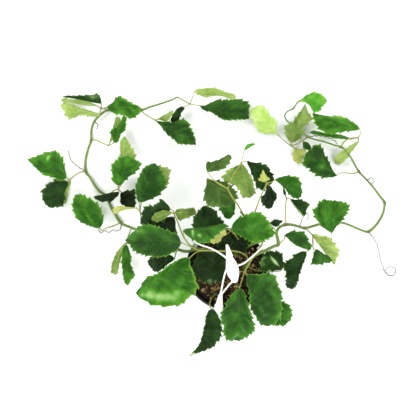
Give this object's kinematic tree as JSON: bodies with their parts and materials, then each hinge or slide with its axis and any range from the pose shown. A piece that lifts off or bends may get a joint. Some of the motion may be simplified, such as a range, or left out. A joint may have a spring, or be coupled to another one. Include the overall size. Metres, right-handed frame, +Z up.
{
  "type": "potted chestnut vine",
  "caption": "Climbing vine with coarsely toothed compound leaves and long trailing shoots in a round dark plastic pot with a slack white hanger.",
  "frame": {"origin": "centre of the underside of the pot, on the surface it stands on", "axes": "+Z up, +X towards the longer right shoot, -Y towards the front"},
  "size_m": [0.7353, 0.5368, 0.2312],
  "materials": {
    "pot_plastic": "satin",
    "bark_mix": "matte",
    "hanger_plastic": "satin",
    "stem": "satin",
    "leaf": "satin",
    "leaf_dark": "satin",
    "leaf_pale": "satin"
  },
  "bodies": {
    "root": {"left_shoot": "stem", "right_shoot": "stem", "back_stem": "stem", "front_stem": "stem", "left_leaf_1": "leaf", "left_leaf_2": "leaf", "left_leaf_3": "leaf", "left_leaf_4": "leaf", "left_leaf_5": "leaf", "left_leaf_6": "leaf", "left_leaf_7": "leaf", "left_leaf_8": "leaf", "crown_leaf_left": "leaf", "crown_leaf_top": "leaf", "crown_leaf_back": "leaf", "crown_leaf_right": "leaf", "crown_leaf_low": "leaf_dark", "crown_leaf_under": "leaf_dark", "crown_leaf_hanging": "leaf", "crown_leaf_front": "leaf", "crown_leaf_side": "leaf_dark", "crown_leaf_edge": "leaf_dark", "crown_leaf_drooping": "leaf_dark", "right_leaf_axil": "leaf_dark", "right_leaf_oval": "leaf", "right_leaf_folded": "leaf_dark", "right_leaf_near": "leaf", "right_leaf_upper": "leaf", "right_leaf_far": "leaf", "right_leaf_pale": "leaf_pale", "right_leaf_tip": "leaf", "pot": "pot_plastic", "potting_mix": "bark_mix", "hanger_hook": "hanger_plastic", "hanger_left_strand": "hanger_plastic", "hanger_right_strand": "hanger_plastic", "hanger_front_strands": "hanger_plastic"}
  },
  "joints": []
}
